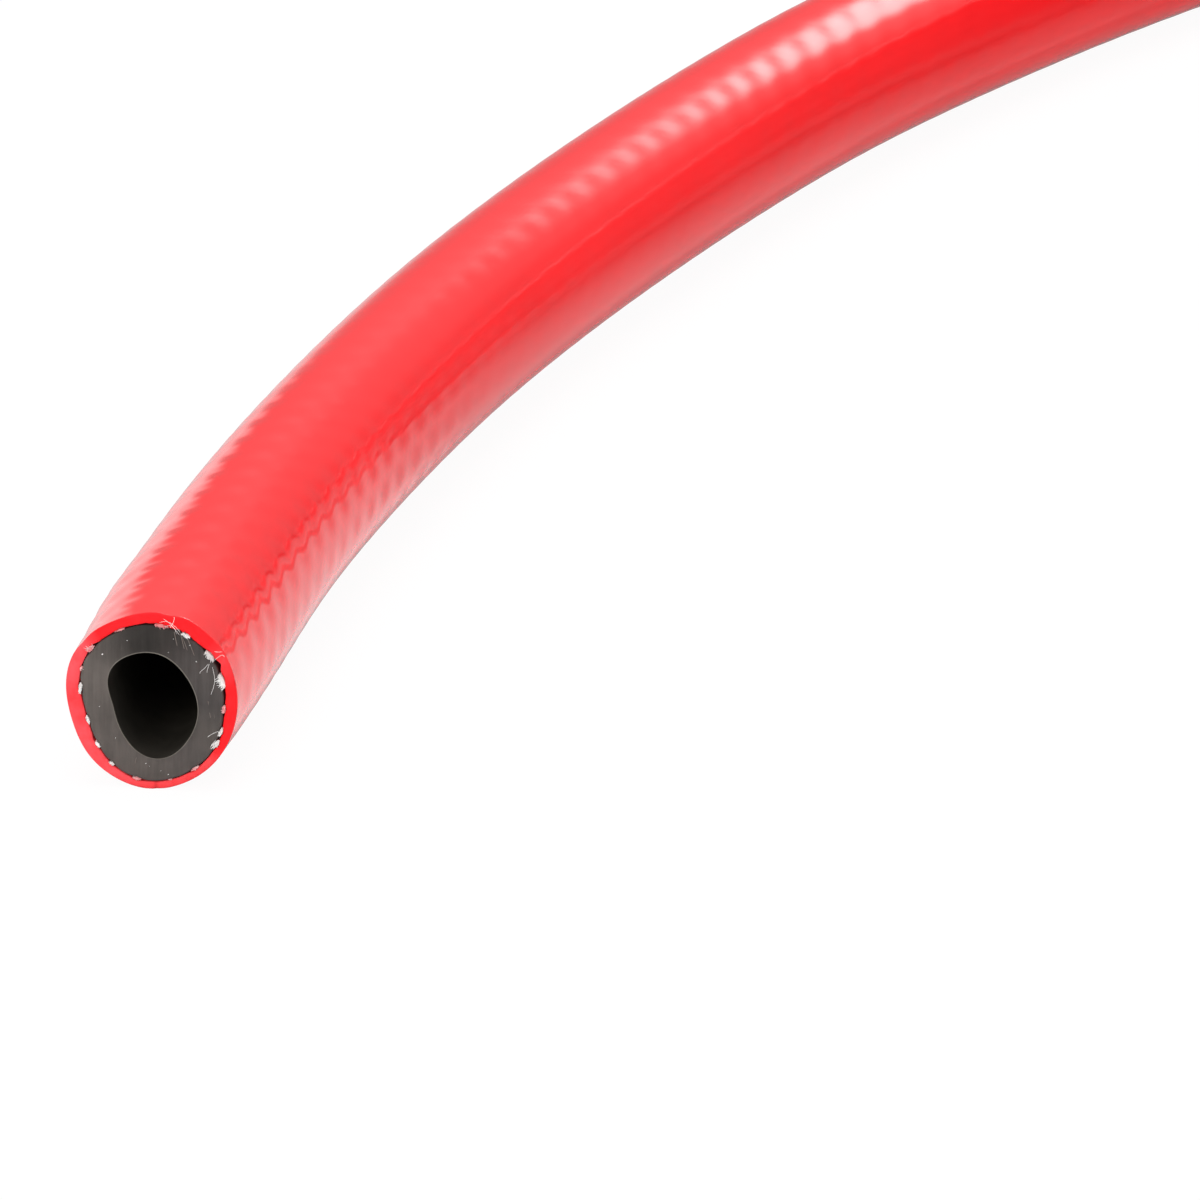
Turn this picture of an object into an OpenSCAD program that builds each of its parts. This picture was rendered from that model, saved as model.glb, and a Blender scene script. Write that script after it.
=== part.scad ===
// Coiled air hose, millimetres, +Z up. The origin is the middle of the hose's
// bounding box, on the surface that it lies on. One hose is three bonded layers:
// an inner tube, a textile braid and an outer cover. The free stretch starts at
// a cut end, runs into the coil, and the other cut end lies on the coil.

/* [Hose wall] */
// Bore of the inner tube, 3/8 inch
bore_d = 9.5; // [6:0.5:13]
// Wall of the inner tube
tube_wall = 2.2; // [1.6:0.1:3]
// Thickness of the textile braid
braid_t = 0.35; // [0.3:0.05:0.6]
// Wall of the outer cover
cover_wall = 1.2; // [0.8:0.1:2]

/* [Cut ends] */
// Straight length behind the free end, which a fitting's barb fills
end_straight = 20; // [18:1:60]
// Straight length of the end that lies on the coil
tail_straight = 20; // [18:1:60]

/* [Coil] */
// Radius of the innermost turn, at the middle of the hose
inner_r = 73.5; // [68:0.5:110]
// Turns that lie side by side in one layer
rings = 3; // [3:1:5]
// Free gap between neighbouring turns
turn_gap = 0.6; // [0.5:0.1:2]

/* [Cable ties] */
// Width of the strap
strap_w = 7.6; // [3.6:0.2:9]
// Thickness of the strap
strap_t = 1.4; // [1:0.1:2]
// Slack between the strap and the hose
strap_slack = 0.2; // [0.15:0.05:0.6]
// Length of the head along the strap
head_l = 9.6; // [7:0.2:14]
// Height of the head over the hose
head_h = 6.8; // [5:0.2:9]
// How far the head is wider than the strap
head_side = 2; // [1:0.25:3]
// Stub of the trimmed strap that stands out of the head
stub_l = 3.5; // [1:0.5:10]

/* [Hidden] */
$fn = 96;

// Diameters of the three layers, from the bore outwards
tube_d = bore_d + 2 * tube_wall;
braid_d = tube_d + 2 * braid_t;
hose_d = braid_d + 2 * cover_wall;
hose_r = hose_d / 2;

// Route of the free run on the ground, with the free end's centre at 0, 0:
// [x, y, share of the rise to the coil]; it starts where the straight end stops
start_heading = 80;
free_points = [
    [7, 38, 0], [12, 59.5, 0], [20, 88, 0], [27.5, 111, 0], [37.5, 137, 0], [46, 156.5, 0],
    [58, 181.5, 0], [65.5, 195.5, 0], [81.5, 220.5, 0], [92, 235, 0], [104, 250, 0],
    [112, 259, 0], [125.5, 272, 0], [136, 280, 0], [152.5, 289, 0], [175, 295.5, 0.17],
    [188, 297, 0.37], [209.5, 297.5, 0.73], [240, 297.5, 1],
];
sides = 12;

// The coil: 4 layers, which wind in and out again by turns. The straps lie under it
layers = 4;
pitch = hose_d + turn_gap;
swing = pitch / 2;
lead_in = hose_d;
function left_r(k) = inner_r + k * pitch;
function right_r(k) = inner_r + (k + 0.5) * pitch;

// A half turn that climbs leans over. Its [sine, cosine] are six-digit numbers
// whose squares add up to 1, so that its ends meet the level half turns exactly
function lean(k) =
    let (
        slope = pitch / 2 / left_r(k),
        near = slope / sqrt(1 + slope * slope),
        pairs = [for (n = [-60 : 60])
            let (s = round(near * 1e6 + n) / 1e6, c = round(sqrt(1 - s * s) * 1e6) / 1e6)
            [abs(s * s + c * c - 1), s, c]],
        least = min([for (p = pairs) p[0]])
    )
    [for (p = pairs) if (p[0] == least) [p[1], p[2]]][0];
function climb_r(k) = round(left_r(k) / lean(k)[1] * 1000) / 1000;
function climb_k(layer) = layer % 2 == 1 ? 0 : rings;
function level(layer) =
    layer == 1 ? strap_t + strap_slack + hose_r
    : level(layer - 1) + 2 * climb_r(climb_k(layer - 1)) * lean(climb_k(layer - 1))[0];

run_end = free_points[len(free_points) - 1];
coil_x = run_end[0] + lead_in;
coil_y = run_end[1] - left_r(rings);

// Bounding box in plan, with the free end's centre at 0, 0
low = [-hose_r * sin(start_heading), -hose_r * cos(start_heading)];
high = [coil_x + right_r(rings - 1) + hose_r, coil_y + left_r(rings) + hose_r];
origin = (low + high) / 2;

// ---- layers of the wall, as flat rings

module ring(outer_d, inner_d) {
    difference() {
        circle(d = outer_d);
        circle(d = inner_d);
    }
}

module cover_ring() { ring(hose_d, braid_d); }
module braid_ring() { ring(braid_d, tube_d); }
module tube_ring() { ring(tube_d, bore_d); }

// ---- stretches of hose; the child is the ring that is swept

module straight(length) {
    rotate([90, 0, 90]) linear_extrude(length) children();
}

module arc(r, turn) {
    rotate_extrude(angle = turn) translate([r, 0]) children();
}

module free_end() {
    translate([-origin[0], -origin[1], hose_r]) rotate([0, 0, start_heading])
        straight(end_straight) children();
}

// The free run is a tube with flat facets through its route's points
run_start = end_straight * [cos(start_heading), sin(start_heading)];
run_points = [
    [run_start[0], run_start[1], hose_r],
    for (p = free_points) [p[0], p[1], hose_r + p[2] * (level(1) - hose_r)],
];
run_count = len(run_points);
function run_direction(i) =
    i == 0 ? [cos(start_heading), sin(start_heading), 0]
    : i == run_count - 1 ? [1, 0, 0]
    : let (d = run_points[i + 1] - run_points[i - 1]) d / norm(d);
function run_ring(i, r) =
    let (
        ahead = run_direction(i),
        side = cross(ahead, [0, 0, 1]) / norm(cross(ahead, [0, 0, 1])),
        up = cross(side, ahead)
    )
    [for (n = [0 : sides - 1])
        run_points[i] + r * (cos(n * 360 / sides) * side + sin(n * 360 / sides) * up)];

// Facets between two rings of points that start at a and b, facing outwards
function band(a, b) =
    [for (n = [0 : sides - 1])
        let (m = (n + 1) % sides)
        each [[a + n, b + n, b + m], [a + n, b + m, a + m]]];

module free_run(outer_d, inner_d) {
    inner_start = run_count * sides;
    last = (run_count - 1) * sides;
    points = [
        for (i = [0 : run_count - 1]) each run_ring(i, outer_d / 2),
        for (i = [0 : run_count - 1]) each run_ring(i, inner_d / 2),
    ];
    faces = [
        for (i = [0 : run_count - 2]) each band(i * sides, (i + 1) * sides),
        for (i = [0 : run_count - 2])
            each band(inner_start + (i + 1) * sides, inner_start + i * sides),
        each band(inner_start, 0),
        each band(last, inner_start + last),
    ];
    translate([-origin[0], -origin[1], 0]) polyhedron(points, faces);
}

// ---- the coil, around its own centre

// Right half turn k, from the back to the front
module right_half(k, centre_y) {
    translate([0, centre_y, 0]) rotate([0, 0, -90]) arc(right_r(k), 180) children();
}

// Left half turn of radius r, from the front to the back
module left_half(r) {
    rotate([0, 0, 90]) arc(r, 180) children();
}

// Turns about the X axis by the lean of climb k, or back with side = -1
module leaning(k, side = 1) {
    s = side * lean(k)[0];
    c = lean(k)[1];
    multmatrix([[1, 0, 0, 0], [0, c, -s, 0], [0, s, c, 0], [0, 0, 0, 1]]) children();
}

// A layer and all that lies on it. The left half turn that climbs from it
// carries the next layer on its far end
module layers_from(layer) {
    centre_y = layer % 2 == 1 ? swing : -swing;
    for (k = [0 : rings - 1]) right_half(k, centre_y) children();
    for (k = [1 : rings - 1]) left_half(left_r(k)) children();
    if (layer < layers) {
        k = climb_k(layer);
        translate([0, -left_r(k), 0]) leaning(k) translate([0, climb_r(k), 0]) {
            left_half(climb_r(k)) children();
            translate([0, climb_r(k), 0]) leaning(k, -1) translate([0, -left_r(k), 0])
                layers_from(layer + 1) children();
        }
    } else {
        translate([-lead_in, -left_r(rings), 0]) straight(lead_in) children();
    }
}

module coil() {
    translate([coil_x - origin[0], coil_y - origin[1], level(1)]) {
        translate([-lead_in, left_r(rings), 0]) straight(lead_in) children();
        layers_from(1) children();
    }
}

module tail() {
    translate([coil_x - origin[0], coil_y - origin[1], 0])
        translate([-lead_in - tail_straight, -left_r(rings), level(layers)])
            straight(tail_straight) children();
}

// ---- least gap of the coil to itself, measured on points of its middle line

half_points = 30;
half_angles = [for (i = [0 : half_points - 1]) i * 180 / half_points];
function right_points(k, layer, centre_y) =
    [for (a = half_angles) [right_r(k) * sin(a), centre_y + right_r(k) * cos(a), level(layer)]];
function left_points(k, layer, climbing) =
    [for (a = half_angles)
        climbing
            ? [
                -climb_r(k) * sin(a),
                -left_r(k) + climb_r(k) * lean(k)[1] * (1 - cos(a)),
                level(layer) + climb_r(k) * lean(k)[0] * (1 - cos(a)),
            ]
            : [-left_r(k) * sin(a), -left_r(k) * cos(a), level(layer)]];
function layer_points(layer) =
    let (inward = layer % 2 == 1)
    [for (n = [0 : rings - 1])
        let (
            k = inward ? rings - 1 - n : n,
            left_k = inward ? k : k + 1,
            turns_back = n == rings - 1,
            last = layer == layers && turns_back
        )
        each concat(
            right_points(k, layer, inward ? swing : -swing),
            last ? [] : left_points(left_k, layer, turns_back)
        )];
coil_points = [
    for (layer = [1 : layers]) each layer_points(layer),
    [0, -left_r(rings), level(layers)],
];
least = min([
    for (i = [0 : len(coil_points) - 1])
        for (j = [i + half_points : 1 : len(coil_points) - 1])
            norm(coil_points[i] - coil_points[j])
]);
function path_length(points) =
    let (steps = [for (i = [1 : len(points) - 1]) norm(points[i] - points[i - 1])])
    steps * [for (s = steps) 1];
hose_length = end_straight + path_length(run_points) + lead_in
    + path_length(coil_points) + lead_in + tail_straight;
echo(str("least gap of the coil to itself, mm: ", least - hose_d));
echo(str("length of the hose, mm: ", hose_length));

// ---- cable ties: a strap round the bundle, and a head on its inner side

// Middles of the hose where a plane through the coil's centre cuts it:
// [distance from the centre, height]
function column(k, centre_y, angle) =
    centre_y * sin(angle) + sqrt(pow(right_r(k), 2) - pow(centre_y * cos(angle), 2));
function right_section(angle) =
    [for (layer = [1 : layers])
        for (k = [0, rings - 1])
            [column(k, layer % 2 == 1 ? swing : -swing, angle), level(layer)]];
function left_section() =
    [
        for (layer = [1, layers]) for (k = [1, rings - 1]) [left_r(k), level(layer)],
        for (layer = [1 : layers - 1])
            [climb_r(climb_k(layer)), (level(layer) + level(layer + 1)) / 2],
    ];

module bundle(section, allowance) {
    hull() for (p = section) translate(p) circle(r = hose_r + allowance, $fn = 32);
}

module cable_tie(section, angle) {
    nearest = min([for (p = section) p[0]]) - hose_r - strap_slack;
    heights = [for (p = section) if (p[0] - hose_r - strap_slack < nearest + strap_slack) p[1]];
    head_z = (min(heights) + max(heights)) / 2;
    head_w = strap_w + head_side;
    translate([coil_x - origin[0], coil_y - origin[1], 0]) rotate([90, 0, angle]) {
        linear_extrude(strap_w, center = true) difference() {
            bundle(section, strap_slack + strap_t);
            bundle(section, strap_slack);
        }
        translate([nearest - head_h, head_z - head_l / 2, -head_w / 2])
            cube([head_h, head_l, head_w]);
        translate([nearest - head_h - stub_l, head_z - strap_t / 2, -strap_w / 2])
            cube([stub_l + strap_t, strap_t, strap_w]);
    }
}

tie_angle = 60;

// ---- nodes

module cover_free_end() { color("crimson") free_end() cover_ring(); }
module braid_free_end() { color("ivory") free_end() braid_ring(); }
module inner_tube_free_end() { color("dimgray") free_end() tube_ring(); }
module cover_free_run() { color("crimson") free_run(hose_d, braid_d); }
module braid_free_run() { color("ivory") free_run(braid_d, tube_d); }
module inner_tube_free_run() { color("dimgray") free_run(tube_d, bore_d); }
module cover_coil() { color("crimson") coil() cover_ring(); }
module braid_coil() { color("ivory") coil() braid_ring(); }
module inner_tube_coil() { color("dimgray") coil() tube_ring(); }
module cover_tail() { color("crimson") tail() cover_ring(); }
module braid_tail() { color("ivory") tail() braid_ring(); }
module inner_tube_tail() { color("dimgray") tail() tube_ring(); }
module cable_tie_left() { color("black") cable_tie(left_section(), 180); }
module cable_tie_back() { color("black") cable_tie(right_section(tie_angle), tie_angle); }
module cable_tie_front() { color("black") cable_tie(right_section(-tie_angle), -tie_angle); }

cover_free_end();
braid_free_end();
inner_tube_free_end();
cover_free_run();
braid_free_run();
inner_tube_free_run();
cover_coil();
braid_coil();
inner_tube_coil();
cover_tail();
braid_tail();
inner_tube_tail();
cable_tie_left();
cable_tie_back();
cable_tie_front();
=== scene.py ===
import math
from collections import namedtuple

import bmesh
import bpy
import numpy as np
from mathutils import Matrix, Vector
from mathutils.geometry import convex_hull_2d


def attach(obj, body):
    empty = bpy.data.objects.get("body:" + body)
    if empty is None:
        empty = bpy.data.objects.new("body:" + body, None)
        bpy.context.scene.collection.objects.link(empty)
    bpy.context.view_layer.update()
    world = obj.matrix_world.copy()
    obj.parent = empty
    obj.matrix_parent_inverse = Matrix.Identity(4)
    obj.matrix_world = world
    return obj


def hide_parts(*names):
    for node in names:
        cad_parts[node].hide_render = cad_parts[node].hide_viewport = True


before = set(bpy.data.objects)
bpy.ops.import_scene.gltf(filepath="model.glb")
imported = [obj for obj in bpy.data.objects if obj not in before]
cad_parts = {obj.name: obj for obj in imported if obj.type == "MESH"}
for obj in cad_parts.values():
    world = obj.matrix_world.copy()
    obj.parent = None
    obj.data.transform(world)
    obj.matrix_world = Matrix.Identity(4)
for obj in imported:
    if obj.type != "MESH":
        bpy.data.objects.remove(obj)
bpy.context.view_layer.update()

MM = 0.001
TAU = 2 * math.pi

# ---------------------------------------------------------------- sizes, in millimetres

HOSE_R = 8.5
BRAID_R = 7.3
TUBE_R = 6.95
BORE_R = 4.75
END_STRAIGHT = 20.0
TAIL_STRAIGHT = 20.0
HEADING = math.radians(80)
ORIGIN = np.array([187.31457, 152.262, 0.0])
INNER_TURN_R = 73.5
RINGS = 3
LAYERS = 4
PITCH = 17.6
SWING = PITCH / 2
LEAD_IN = 17.0
FIRST_LEVEL = 10.1
# Length over which the texture's second coordinate goes from 0 to 1
HOSE_LENGTH = 7620.0

# The route of the free run, as in the part's source: x, y and the share of its rise
FREE_POINTS = [
    (7, 38, 0), (12, 59.5, 0), (20, 88, 0), (27.5, 111, 0), (37.5, 137, 0),
    (46, 156.5, 0), (58, 181.5, 0), (65.5, 195.5, 0), (81.5, 220.5, 0), (92, 235, 0),
    (104, 250, 0), (112, 259, 0), (125.5, 272, 0), (136, 280, 0), (152.5, 289, 0),
    (175, 295.5, 0.17), (188, 297, 0.37), (209.5, 297.5, 0.73), (240, 297.5, 1),
]
COIL_CENTRE = np.array([257.0, 171.2, 0.0])


def left_radius(k):
    return INNER_TURN_R + k * PITCH


def right_radius(k):
    return INNER_TURN_R + (k + 0.5) * PITCH


# Climbing half turns lean over: [sine, cosine] of the inner and of the outer one
LEAN = {0: (0.118927, 0.992903), RINGS: (0.069528, 0.99758)}
CLIMB_R = {0: 74.025, RINGS: 126.606}


def climb_turn(layer):
    return 0 if layer % 2 == 1 else RINGS


def level(layer):
    if layer == 1:
        return FIRST_LEVEL
    k = climb_turn(layer - 1)
    return level(layer - 1) + 2 * CLIMB_R[k] * LEAN[k][0]


# ---------------------------------------------------------------- the route of the hose


def spline_through(points, start, end, step):
    """Points at most step apart on a cubic spline that leaves and arrives along start and end."""
    points = np.array(points, float)
    lengths = np.linalg.norm(np.diff(points, axis=0), axis=1)
    count = len(points)
    matrix = np.eye(count)
    right = np.zeros((count, 3))
    right[0], right[-1] = start, end
    for i in range(1, count - 1):
        before, after = lengths[i - 1], lengths[i]
        matrix[i, i - 1:i + 2] = after, 2 * (before + after), before
        right[i] = 3 * (
            after / before * (points[i] - points[i - 1])
            + before / after * (points[i + 1] - points[i])
        )
    slopes = np.linalg.solve(matrix, right)
    out = []
    for i in range(count - 1):
        pieces = max(1, math.ceil(lengths[i] / step))
        t = (np.arange(pieces) / pieces)[:, None]
        out.append(
            (2 * t**3 - 3 * t**2 + 1) * points[i]
            + (t**3 - 2 * t**2 + t) * lengths[i] * slopes[i]
            + (3 * t**2 - 2 * t**3) * points[i + 1]
            + (t**3 - t**2) * lengths[i] * slopes[i + 1]
        )
    return np.vstack(out)


def half_turn(make_point, steps=60):
    return np.array([make_point(math.pi * i / steps) for i in range(steps)])


def coil_route():
    """The coil's middle line from its lead in to its lead out, around the coil's centre."""
    out = []
    shift = 0.0
    for layer in range(1, LAYERS + 1):
        inward = layer % 2 == 1
        height = level(layer)
        swing = SWING if inward else -SWING
        for n in range(RINGS):
            k = RINGS - 1 - n if inward else n
            radius = right_radius(k)
            out.append(half_turn(lambda a: (
                radius * math.sin(a), shift + swing + radius * math.cos(a), height)))
            last = n == RINGS - 1
            if last and layer == LAYERS:
                break
            if last:
                turn = climb_turn(layer)
                sine, cosine = LEAN[turn]
                radius = CLIMB_R[turn]
                start = shift - left_radius(turn)
                out.append(half_turn(lambda a: (
                    -radius * math.sin(a),
                    start + radius * cosine * (1 - math.cos(a)),
                    height + radius * sine * (1 - math.cos(a)))))
                shift = start + 2 * radius * cosine - left_radius(turn)
            else:
                radius = left_radius(k if inward else k + 1)
                out.append(half_turn(lambda a: (
                    -radius * math.sin(a), shift - radius * math.cos(a), height)))
    start_y = left_radius(RINGS)
    lead_in = [(-LEAD_IN + x, start_y, level(1)) for x in (0, LEAD_IN / 2)]
    end_y = shift - left_radius(RINGS)
    lead_out = [(-x, end_y, level(LAYERS)) for x in (0, LEAD_IN / 2)]
    return np.vstack([lead_in, *out, lead_out]) + COIL_CENTRE


def hose_route():
    """Points along the middle of the whole hose in the row frame, and their distance along it."""
    rise = level(1) - HOSE_R
    ahead = np.array([math.cos(HEADING), math.sin(HEADING), 0])
    straight = np.array([ahead * t + (0, 0, HOSE_R) for t in np.arange(0, END_STRAIGHT, 0.5)])
    knots = [tuple(ahead * END_STRAIGHT + (0, 0, HOSE_R))]
    knots += [(x, y, HOSE_R + share * rise) for x, y, share in FREE_POINTS]
    free = spline_through(knots, ahead, (1, 0, 0), 0.5)
    coil = coil_route()
    tail_start = coil[-1] + (-LEAD_IN / 2, 0, 0)
    tail = [tail_start + (-x, 0, 0) for x in np.arange(0, TAIL_STRAIGHT + 0.5, 1.0)]
    points = np.vstack([straight, free, coil, tail]) - ORIGIN
    along = np.concatenate([[0], np.cumsum(np.linalg.norm(np.diff(points, axis=0), axis=1))])
    return points, along


ROUTE, ALONG = hose_route()
LENGTH = ALONG[-1]


def on_route(s):
    """Middle point, direction, right side and up side at the distance s along the hose."""
    s = np.atleast_1d(np.asarray(s, float))
    middle = np.stack([np.interp(s, ALONG, ROUTE[:, i]) for i in range(3)], 1)
    middle[:, 2] += CUT_LIFT * squeeze(s)
    reach = 0.6
    low = np.clip(s - reach, 0, LENGTH)
    high = np.clip(s + reach, 0, LENGTH)
    ahead = np.stack(
        [np.interp(high, ALONG, ROUTE[:, i]) - np.interp(low, ALONG, ROUTE[:, i]) for i in range(3)], 1
    )
    ahead /= np.linalg.norm(ahead, axis=1, keepdims=True)
    side = np.cross(ahead, (0, 0, 1))
    side /= np.linalg.norm(side, axis=1, keepdims=True)
    return middle, ahead, side, np.cross(side, ahead)


# ---------------------------------------------------------------- shape of a cut end

# The cutter left the end oval, and so its middle a little higher off the floor
CUT_LIFT = 0.3
# and dragged the cut face out of square by a little
FACE_OUT = 0.45
# Swellings behind the cut: angle and its width, distance and its width, height
BULGES = ((-28, 42, 24, 21, 0.38), (152, 36, 17, 10, 0.32))

# Radii every 30 degrees, from the right side over the top, at the cut face
OUTSIDE_AT_CUT = (8.32, 8.71, 9.06, 8.96, 8.69, 8.74, 8.2, 8.18, 8.61, 8.8, 8.55, 8.33)
TUBE_AT_CUT = (7.04, 7.44, 7.62, 7.75, 7.58, 7.47, 6.69, 6.66, 7.53, 8.0, 7.74, 7.37)
BORE_AT_CUT = (4.47, 4.31, 4.58, 4.92, 4.99, 4.73, 3.82, 3.83, 4.62, 5.62, 5.37, 4.78)


def around(radii, angle):
    """Smooth closed curve through radii at equal angles, by its Fourier series."""
    terms = np.fft.rfft(radii) / len(radii)
    out = np.full(np.shape(angle), terms[0].real)
    for n in range(1, len(terms)):
        share = 1 if n == len(radii) / 2 else 2
        out = out + share * (terms[n].real * np.cos(n * angle) - terms[n].imag * np.sin(n * angle))
    return out


def squeeze(s, reach=24.0):
    """How far the cutter's squeeze still shows at s: 1 at the cut, 0 far from it."""
    return np.exp(-np.maximum(s, 0) / reach)


# The yarns of the braid that show at the cut face: angle, width, thickness, how far they fray,
# where the fraying points, how far they stand out of the face, whether rubber is smeared on them
FREE_YARNS = [
    (139.5, 0.9, 0.3, 0.9, 150, 0.02, True), (113, 1.15, 0.2, 0.1, 0, -0.1, True),
    (82.5, 1.35, 0.34, 0.5, -25, 0.03, True), (63.7, 0.95, 0.42, 0.15, -100, 0.05, False),
    (41, 1.3, 0.5, 0.6, -98, 0.08, False), (20, 1.55, 0.5, 0.8, -150, 0.05, False),
    (357, 0.95, 0.34, 0.3, 180, -0.02, True), (338.5, 1.05, 0.34, 0.2, 200, 0.05, False),
    (329, 0.8, 0.42, 0.9, -150, 0.07, False), (303, 1.0, 0.3, 0.1, 0, -0.05, True),
    (283, 0.4, 0.14, 0, 0, -0.1, True), (259.5, 0.9, 0.32, 0.15, 0, -0.04, True),
    (239.2, 0.6, 0.3, 0.2, 90, 0.0, False), (221.5, 0.75, 0.34, 0.2, 60, 0.03, False),
    (199.3, 0.95, 0.32, 0.1, 0, 0.05, False), (172, 1.25, 0.38, 0.15, 30, 0.05, False),
    (156.5, 0.45, 0.22, 0.3, 0, -0.05, True),
]
TAIL_YARNS = [
    (22.5 * i + 5 * math.sin(2.4 * i), 1.15, 0.4, 0.3 + 0.25 * math.sin(1.7 * i), 37 * i, 0.04, False)
    for i in range(16)
]


def near_angle(angle, middle, width):
    """Bump of height 1 around an angle in degrees, with a width in degrees."""
    off = (np.degrees(angle) - middle + 180) % 360 - 180
    return np.exp(-((off / width) ** 2))


def with_bumps(radius, angle, bumps):
    for middle, width, height in bumps:
        radius = radius + height * near_angle(angle, middle, width)
    return radius


# Middle of the yarns, how far the tube swells at a cut, and the cover's thinnest wall there
YARN_R = 7.2
SWOLLEN = 0.2
THINNEST_COVER = 0.55


class CutEnd:
    """One cut end of the hose: its outline, and the pockets that its yarns lie in."""

    def __init__(self, yarns, gaps, nicks, turn, strength):
        self.yarns = yarns
        self.gaps = gaps
        self.nicks = nicks
        self.turn = math.radians(turn)
        self.strength = strength

    def outline(self, radii, plain, angle):
        return plain + self.strength * (around(radii, angle - self.turn) - plain)

    def outside(self, angle):
        return with_bumps(self.outline(OUTSIDE_AT_CUT, HOSE_R, angle), angle, self.nicks)

    def bore(self, angle):
        return self.outline(BORE_AT_CUT, BORE_R, angle)

    def yarn_bumps(self, share):
        """A bump for each yarn: angle, width in degrees, and share of its thickness."""
        return [(middle, math.degrees(width / 2 / YARN_R), share * thick)
                for middle, width, thick, *_ in self.yarns]

    def tube(self, angle):
        """Outside of the inner tube: each yarn presses a shallow dent into it."""
        radius = self.outline(TUBE_AT_CUT, TUBE_R + SWOLLEN, angle)
        return with_bumps(radius, angle, self.yarn_bumps(-0.45))

    def cover_inside(self, angle):
        """Inside of the cover: it lies on the tube, and stands off where a yarn or a gap is."""
        radius = self.outline(TUBE_AT_CUT, TUBE_R + SWOLLEN, angle) + 0.05
        radius = with_bumps(radius, angle, self.yarn_bumps(0.5) + self.gaps)
        return np.minimum(radius, self.outside(angle) - THINNEST_COVER)


# Where the cover stands off the tube, and nicks in its outside: angle, width, height
FREE_GAPS = [
    (32, 3.5, 0.4), (8, 5, 0.12), (69.5, 2.5, 0.14), (93, 4, 0.08), (136, 3, 0.12), (216, 3, 0.14),
]
FREE_NICKS = [(66, 8, 0.12), (79, 5, -0.14), (140, 6, -0.12), (274, 1.5, -0.1)]
FREE_CUT = CutEnd(FREE_YARNS, FREE_GAPS, FREE_NICKS, turn=0, strength=1.0)
TAIL_CUT = CutEnd(TAIL_YARNS, [(140, 6, 0.15)], [(20, 7, 0.08)], turn=205, strength=0.7)


def deformed(at_free, at_tail, plain, s):
    """Radius that goes from a cut end's own outline to the plain radius and back."""
    near_free = squeeze(s)
    near_tail = squeeze(LENGTH - s)
    return plain + near_free * (at_free - plain) + near_tail * (at_tail - plain)


def bulge(s, angle):
    """How far the cover swells out behind the free cut."""
    out = np.zeros_like(angle)
    for middle, width, place, reach, height in BULGES:
        out = out + height * math.exp(-((s - place) / reach) ** 2) * near_angle(angle, middle, width)
    return out


# ---------------------------------------------------------------- relief of the braid

RIDGE_PITCH = 5.65
RIDGE_HEIGHT = 0.019
THREAD_HEIGHT = 0.0012
WAVE_HEIGHT = 0.008
# The mesh carries the relief up to here and again in the tail's last stretch, where the layers
# have closer rings; the material's bump carries it between them
DENSE_END = 288.0
END_STRETCH = 30.0
# Points round a ring of the hose's meshes
FINEST = 256
FINE = 128
COARSE = 64


def relief(s, angle):
    """Height of the soft ridges that the braid under the cover leaves on its surface."""
    turn = TAU * s / RIDGE_PITCH + 0.3 * np.sin(s / 9.0) + 0.15 * np.sin(s / 3.7 + 1)
    over = np.cos(8 * angle + turn)
    under = np.cos(8 * angle - turn + 0.4)
    threads = np.cos(24 * angle + 3 * turn)
    slow = np.sin(s / 17.0 + 2 * angle) + np.sin(s / 11.0 - angle + 1.3)
    # Higher behind the cut, lower from 48 to 98 mm on, and a little higher again from 165 mm on
    near = math.exp(-((s - 18) / 12) ** 2)
    lower = min(1, max(0, (s - 48) / 50))
    far = min(1, max(0, (s - 165) / 25))
    pulled = 1 + 0.35 * near - 0.72 * lower + 0.22 * far
    # and less towards the side that it was bent to
    pulled = pulled * (1 - 0.5 * near_angle(angle, -25, 42))
    ridges = RIDGE_HEIGHT * pulled * ((1 - 0.5 * far) * over + (1 + 0.3 * far) * under)
    return ridges + THREAD_HEIGHT * threads + WAVE_HEIGHT * slow


# ---------------------------------------------------------------- mesh building


def band(a, b, count):
    """Faces between two rings of count points, whose first points are a and b."""
    return [(a + j, a + (j + 1) % count, b + (j + 1) % count, b + j) for j in range(count)]


def stack(rings, count):
    """Faces along rings of count points each, closed at both ends."""
    faces = [face for i in range(rings - 1) for face in band(i * count, (i + 1) * count, count)]
    faces.append(tuple(reversed(range(count))))
    faces.append(tuple(range((rings - 1) * count, rings * count)))
    return faces


# A ring of a wall: its first point, its count of points, its place along the hose, its material
Ring = namedtuple("Ring", "first count s skin")


def joined(near, far):
    """Faces between two rings, of corners (ring, number); one ring may have twice the points."""
    if near.count == far.count:
        return [[(near, j), (near, j + 1), (far, j + 1), (far, j)] for j in range(near.count)]
    few, many = sorted((near, far), key=lambda ring: ring.count)
    faces = []
    for j in range(few.count):
        middle = (many, 2 * j + 1)
        faces += [
            [(many, 2 * j), middle, (few, j)],
            [middle, (few, j + 1), (few, j)],
            [middle, (many, 2 * j + 2), (few, j + 1)],
        ]
    return [face[::-1] for face in faces] if few is near else faces


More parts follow.
